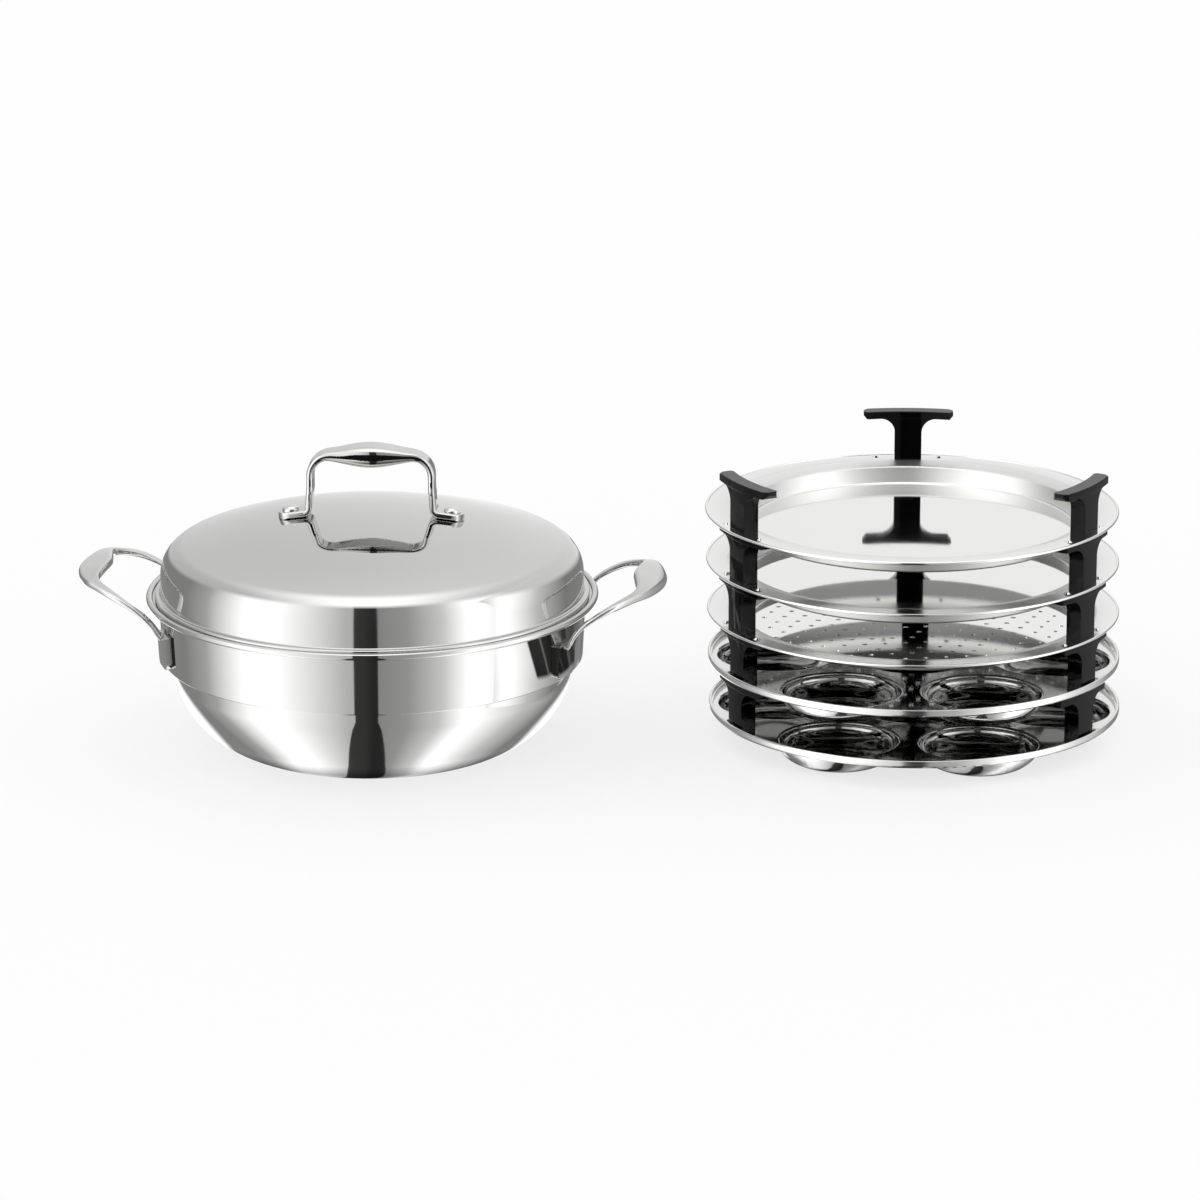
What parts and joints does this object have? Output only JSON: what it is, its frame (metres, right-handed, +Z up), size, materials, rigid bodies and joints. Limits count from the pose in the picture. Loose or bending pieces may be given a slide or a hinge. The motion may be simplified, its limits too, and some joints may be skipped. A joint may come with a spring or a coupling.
{
  "type": "idli steamer",
  "caption": "Lidded steel steaming pot with two side handles, beside its stack of lift-off steaming plates that stand on one another by T-shaped handles.",
  "frame": {"origin": "centre of the pot's flat base, on the surface that it stands on", "axes": "+Z up, +X from the pot towards the stack of plates, +Y to the back"},
  "size_m": [0.6308, 0.29, 0.1867],
  "materials": {
    "pot_steel": "mirror-polished stainless steel sheet",
    "lid_steel": "mirror-polished stainless steel sheet",
    "cast_steel": "polished cast stainless steel",
    "lid_handle_steel": "polished bent stainless steel bar",
    "rivet_steel": "polished stainless steel",
    "plate_steel": "polished stainless steel sheet",
    "handle_bakelite": "glossy black moulded phenolic",
    "screw_steel": "turned steel",
    "insert_brass": "turned brass"
  },
  "bodies": {
    "pot": {"pot_body": "pot_steel", "pot_handle_left": "cast_steel", "pot_handle_right": "cast_steel"},
    "lid": {"lid_shell": "lid_steel", "lid_handle": "lid_handle_steel", "lid_rivets": "rivet_steel"},
    "plate_1": {"plate_1_tray": "plate_steel", "plate_1_handle_rear": "handle_bakelite", "plate_1_handle_left": "handle_bakelite", "plate_1_handle_right": "handle_bakelite", "plate_1_screws": "screw_steel", "plate_1_inserts": "insert_brass"},
    "plate_2": {"plate_2_tray": "plate_steel", "plate_2_handle_rear": "handle_bakelite", "plate_2_handle_left": "handle_bakelite", "plate_2_handle_right": "handle_bakelite", "plate_2_screws": "screw_steel", "plate_2_inserts": "insert_brass"},
    "plate_3": {"plate_3_tray": "plate_steel", "plate_3_handle_rear": "handle_bakelite", "plate_3_handle_left": "handle_bakelite", "plate_3_handle_right": "handle_bakelite", "plate_3_screws": "screw_steel", "plate_3_inserts": "insert_brass"},
    "plate_4": {"plate_4_tray": "plate_steel", "plate_4_handle_rear": "handle_bakelite", "plate_4_handle_left": "handle_bakelite", "plate_4_handle_right": "handle_bakelite", "plate_4_screws": "screw_steel", "plate_4_inserts": "insert_brass"},
    "plate_5": {"plate_5_tray": "plate_steel", "plate_5_handle_rear": "handle_bakelite", "plate_5_handle_left": "handle_bakelite", "plate_5_handle_right": "handle_bakelite", "plate_5_screws": "screw_steel", "plate_5_inserts": "insert_brass"}
  },
  "joints": [
    {"name": "lid_lift", "type": "slide", "parent": "pot", "child": "lid", "axis": [0, 0, 1], "range_m": [0, 0.06]},
    {"name": "plate_1_lift", "type": "slide", "parent": "pot", "child": "plate_1", "axis": [0, 0, 1], "range_m": [0, 0.05]},
    {"name": "plate_2_lift", "type": "slide", "parent": "plate_1", "child": "plate_2", "axis": [0, 0, 1], "range_m": [0, 0.04]},
    {"name": "plate_3_lift", "type": "slide", "parent": "plate_2", "child": "plate_3", "axis": [0, 0, 1], "range_m": [0, 0.04]},
    {"name": "plate_4_lift", "type": "slide", "parent": "plate_3", "child": "plate_4", "axis": [0, 0, 1], "range_m": [0, 0.04]},
    {"name": "plate_5_lift", "type": "slide", "parent": "plate_4", "child": "plate_5", "axis": [0, 0, 1], "range_m": [0, 0.04]}
  ]
}
